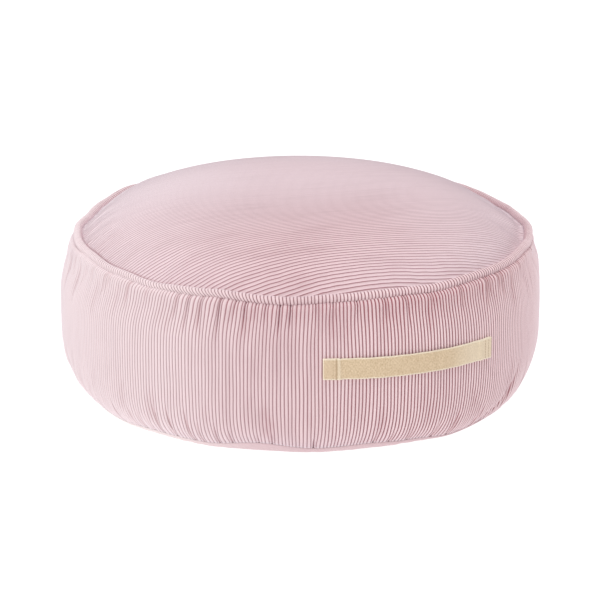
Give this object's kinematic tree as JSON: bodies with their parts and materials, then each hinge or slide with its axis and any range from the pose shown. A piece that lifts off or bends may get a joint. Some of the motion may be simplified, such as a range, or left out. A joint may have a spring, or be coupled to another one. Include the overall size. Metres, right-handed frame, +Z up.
{
  "type": "ribbed floor pouf",
  "caption": "Round filled floor pouf in wide-wale corduroy: crowned top, piped top seam, full side band with upright wales, plain base and a webbing carry handle.",
  "frame": {"origin": "on the floor under the middle of the pouf", "axes": "+Z up along the pouf's axis; the middle of the carry handle faces -Y"},
  "size_m": [0.5578, 0.5655, 0.239],
  "materials": {
    "top_corduroy": "dusty pink wide-wale corduroy, soft cut pile",
    "band_corduroy": "dusty pink wide-wale corduroy, wales upright",
    "base_cloth": "plain dusty pink cloth, matte",
    "piping_corduroy": "dusty pink corduroy wrapped on cord, wales across it",
    "cotton_webbing": "cream cotton webbing, fine woven grain"
  },
  "bodies": {
    "root": {"top_panel": "top_corduroy", "side_band": "band_corduroy", "base_panel": "base_cloth", "top_piping": "piping_corduroy", "carry_handle": "cotton_webbing"}
  },
  "joints": []
}
